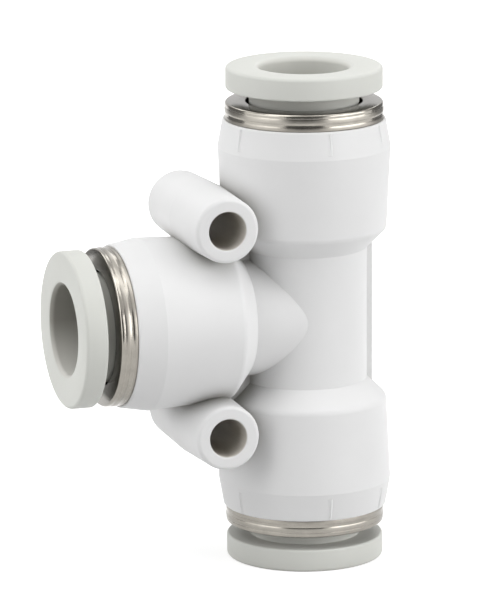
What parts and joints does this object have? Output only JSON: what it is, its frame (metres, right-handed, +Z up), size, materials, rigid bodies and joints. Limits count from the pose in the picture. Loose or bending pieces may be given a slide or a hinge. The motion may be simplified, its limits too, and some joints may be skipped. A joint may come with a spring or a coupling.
{
  "type": "push-in union tee",
  "caption": "Tee-shaped push-in fitting that joins plastic air tubes of one size, with a release sleeve and a metal collar on each port and screw holes in bosses beside the branch.",
  "frame": {"origin": "centre of the lower port's mouth, on the plane that the part stands on", "axes": "+Z up along the run, -X out along the branch, Y along the screw holes"},
  "size_m": [0.0311, 0.0158, 0.0458],
  "materials": {
    "body_white": "satin moulded PBT",
    "sleeve_grey": "satin moulded POM",
    "collar_nickel": "bright nickel plate",
    "grip_stainless": "stamped stainless sheet",
    "back_ring_natural": "natural moulded POM",
    "seal_black": "matt moulded NBR"
  },
  "bodies": {
    "fitting": {"fitting_body": "body_white", "upper_collar": "collar_nickel", "upper_back_ring": "back_ring_natural", "upper_seal": "seal_black", "lower_collar": "collar_nickel", "lower_back_ring": "back_ring_natural", "lower_seal": "seal_black", "branch_collar": "collar_nickel", "branch_back_ring": "back_ring_natural", "branch_seal": "seal_black"},
    "upper_grip": {"upper_grip_ring": "grip_stainless"},
    "upper_sleeve": {"upper_release_sleeve": "sleeve_grey"},
    "lower_grip": {"lower_grip_ring": "grip_stainless"},
    "lower_sleeve": {"lower_release_sleeve": "sleeve_grey"},
    "branch_grip": {"branch_grip_ring": "grip_stainless"},
    "branch_sleeve": {"branch_release_sleeve": "sleeve_grey"}
  },
  "joints": [
    {"name": "upper_swivel", "type": "hinge", "parent": "fitting", "child": "upper_grip", "pos_m": [0, 0, 0.03573], "axis": [0, 0, 1], "continuous": true},
    {"name": "upper_release", "type": "slide", "parent": "upper_grip", "child": "upper_sleeve", "axis": [0, 0, -1], "range_m": [0, 0.0011], "stiffness_N_per_m": 500, "springref_m": -0.002, "deforming": ["upper_grip_ring"]},
    {"name": "lower_swivel", "type": "hinge", "parent": "fitting", "child": "lower_grip", "pos_m": [0, 0, 0.01009], "axis": [0, 0, -1], "continuous": true},
    {"name": "lower_release", "type": "slide", "parent": "lower_grip", "child": "lower_sleeve", "axis": [0, 0, 1], "range_m": [0, 0.0011], "stiffness_N_per_m": 500, "springref_m": -0.002, "deforming": ["lower_grip_ring"]},
    {"name": "branch_swivel", "type": "hinge", "parent": "fitting", "child": "branch_grip", "pos_m": [-0.0131, 0, 0.02291], "axis": [-1, 0, 0], "continuous": true},
    {"name": "branch_release", "type": "slide", "parent": "branch_grip", "child": "branch_sleeve", "axis": [1, 0, 0], "range_m": [0, 0.0011], "stiffness_N_per_m": 500, "springref_m": -0.002, "deforming": ["branch_grip_ring"]}
  ]
}
